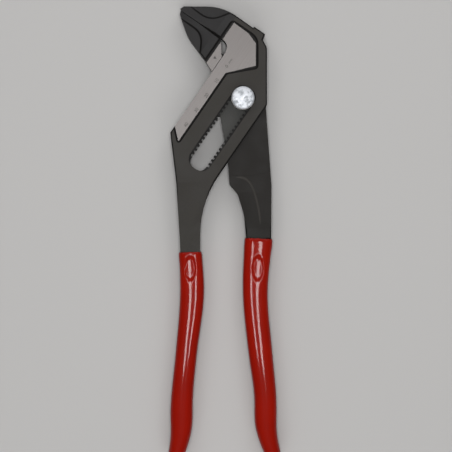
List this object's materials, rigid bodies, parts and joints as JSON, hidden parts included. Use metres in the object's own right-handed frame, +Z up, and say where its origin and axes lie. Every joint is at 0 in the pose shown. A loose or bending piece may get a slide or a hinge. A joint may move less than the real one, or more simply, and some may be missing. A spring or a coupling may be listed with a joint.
{
  "type": "pliers wrench",
  "caption": "Adjustable pliers wrench with parallel smooth jaws, a toothed slot with a push button lock, and slim dipped red handle grips.",
  "frame": {"origin": "centre of the bounding box in plan, on the surface the tool lies on", "axes": "+Y from the handles to the jaws, +X to the lever's side, +Z up out of the front face with the button"},
  "size_m": [0.0654, 0.2494, 0.0182],
  "materials": {
    "black_steel": "dark grey phosphated forging, ground bright on the guide and the jaw's neck",
    "red_vinyl": "glossy dipped coating",
    "zinc_steel": "zinc plated",
    "plain_steel": "bare steel"
  },
  "bodies": {
    "fixed_handle": {"fixed_jaw_handle": "black_steel", "left_grip": "red_vinyl"},
    "carriage": {"spring_washer": "plain_steel", "button_spring": "plain_steel"},
    "lever": {"lever_handle": "black_steel", "right_grip": "red_vinyl"},
    "jaw": {"sliding_jaw": "black_steel"},
    "bolt": {"pivot_bolt": "plain_steel", "push_button": "zinc_steel", "retaining_ring": "plain_steel"}
  },
  "joints": [
    {"name": "adjust_slide", "type": "slide", "parent": "fixed_handle", "child": "carriage", "axis": [-0.5678, -0.8231, 0], "range_m": [0, 0.03]},
    {"name": "lever_hinge", "type": "hinge", "parent": "carriage", "child": "lever", "pos_m": [0.01059, 0.07453, 0.0072], "axis": [0, 0, 1], "range_deg": [0, 24]},
    {"name": "jaw_slide", "type": "slide", "parent": "carriage", "child": "jaw", "axis": [-0.5678, -0.8231, 0], "range_m": [0, 0.00624]},
    {"name": "button_press", "type": "slide", "parent": "carriage", "child": "bolt", "axis": [0, 0, -1], "range_m": [0, 0.0016], "stiffness_N_per_m": 1500, "springref_m": -0.002, "deforming": ["button_spring"]}
  ],
  "couplings": [
    {"joint": "jaw_slide", "follows": "lever_hinge", "m_per_rad": 0.014891}
  ]
}
